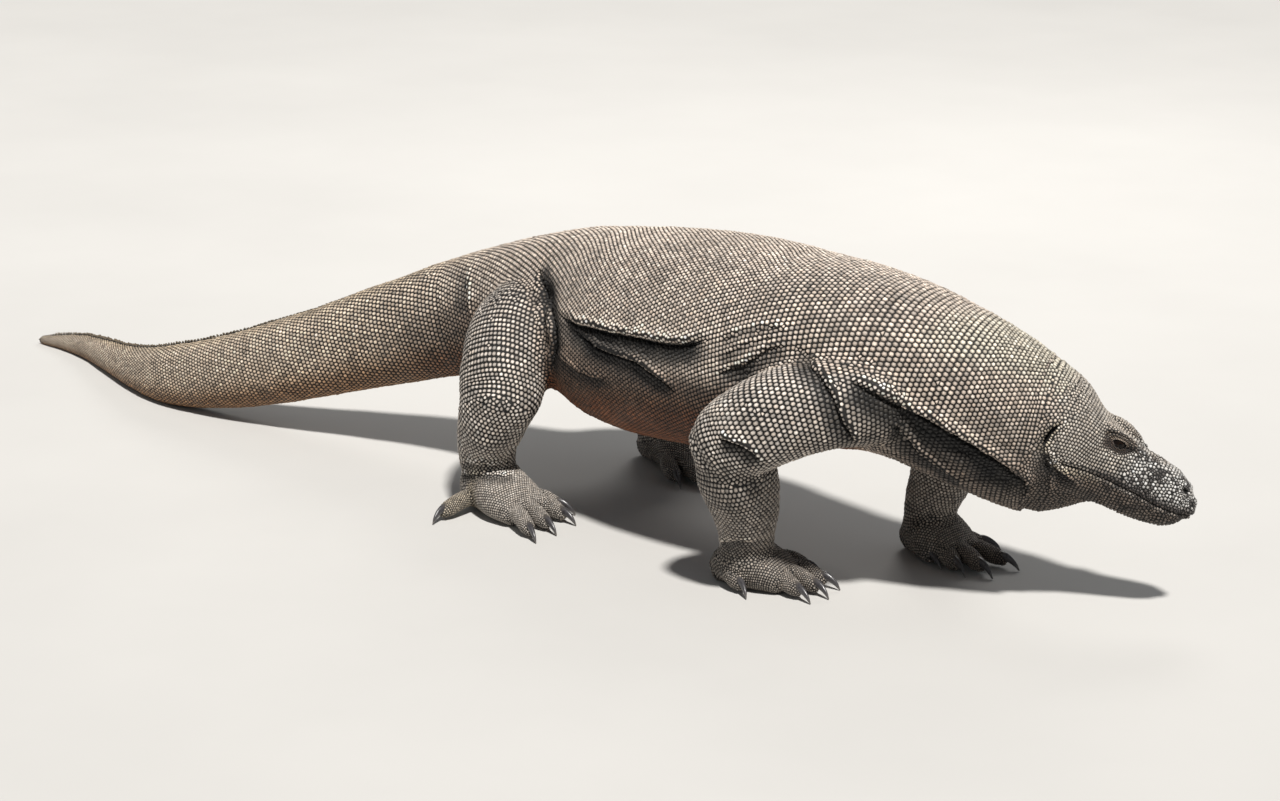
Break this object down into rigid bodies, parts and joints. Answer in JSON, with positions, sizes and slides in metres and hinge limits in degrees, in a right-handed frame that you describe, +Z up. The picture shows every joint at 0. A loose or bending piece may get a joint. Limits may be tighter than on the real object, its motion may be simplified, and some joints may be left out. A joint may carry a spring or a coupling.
{
  "type": "komodo dragon",
  "caption": "Large monitor lizard walking with its head low, legs spread and the end of its heavy tail lying on the ground.",
  "frame": {"origin": "middle of the bounding box's base, on the floor", "axes": "+X from the tail towards the chest along the trunk, +Y to the animal's left, +Z up"},
  "size_m": [2.213, 0.5872, 0.4378],
  "materials": {
    "skin_body": "dry, matt, beaded with small scales",
    "skin_head": "dry, small plates with a slight sheen",
    "skin_limb": "dry, matt, round beaded scales",
    "skin_tail": "dry, matt, ringed with oblong scales",
    "eye": "wet, glossy",
    "claw": "horn, worn smooth, half gloss"
  },
  "bodies": {
    "root": {"head": "skin_head", "jaw": "skin_head", "eye_right": "eye", "eye_left": "eye", "neck": "skin_body", "chest": "skin_body", "belly": "skin_body", "pelvis": "skin_body", "tail_base": "skin_tail", "tail_middle": "skin_tail", "tail_rear": "skin_tail", "tail_tip": "skin_tail", "fore_left_claw_1": "claw", "fore_left_claw_2": "claw", "fore_left_claw_3": "claw", "fore_left_claw_4": "claw", "fore_left_claw_5": "claw", "fore_left_foot": "skin_limb", "fore_left_lower": "skin_limb", "fore_left_upper": "skin_limb", "fore_right_claw_1": "claw", "fore_right_claw_2": "claw", "fore_right_claw_3": "claw", "fore_right_claw_4": "claw", "fore_right_claw_5": "claw", "fore_right_foot": "skin_limb", "fore_right_lower": "skin_limb", "fore_right_upper": "skin_limb", "hind_left_claw_1": "claw", "hind_left_claw_2": "claw", "hind_left_claw_3": "claw", "hind_left_claw_4": "claw", "hind_left_claw_5": "claw", "hind_left_foot": "skin_limb", "hind_left_lower": "skin_limb", "hind_left_upper": "skin_limb", "hind_right_claw_1": "claw", "hind_right_claw_2": "claw", "hind_right_claw_3": "claw", "hind_right_claw_4": "claw", "hind_right_claw_5": "claw", "hind_right_foot": "skin_limb", "hind_right_lower": "skin_limb", "hind_right_upper": "skin_limb"}
  },
  "joints": []
}
